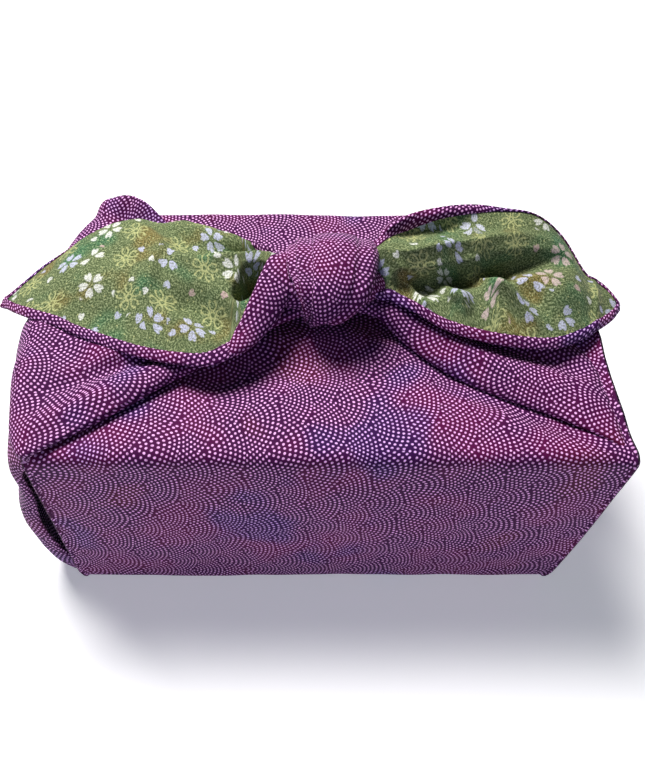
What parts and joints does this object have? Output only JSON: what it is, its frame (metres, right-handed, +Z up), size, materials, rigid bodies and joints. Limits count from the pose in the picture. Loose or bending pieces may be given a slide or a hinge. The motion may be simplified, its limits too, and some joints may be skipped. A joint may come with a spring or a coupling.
{
  "type": "furoshiki wrap",
  "caption": "Square wrapping cloth tied round a box-shaped space, with a knot and two lined wing ends on top.",
  "frame": {"origin": "centre of the flat base's depth, on the surface that the wrap stands on", "axes": "+X to the right of someone in front, +Y to the back, +Z up"},
  "size_m": [0.2561, 0.1402, 0.1419],
  "materials": {
    "outer_cloth": "matt plum crepe with a fine light dot print",
    "lining": "matt moss green crepe with a small blossom print"
  },
  "bodies": {
    "root": {"outer_cloth": "outer_cloth", "lining_left": "lining", "lining_right": "lining"}
  },
  "joints": []
}
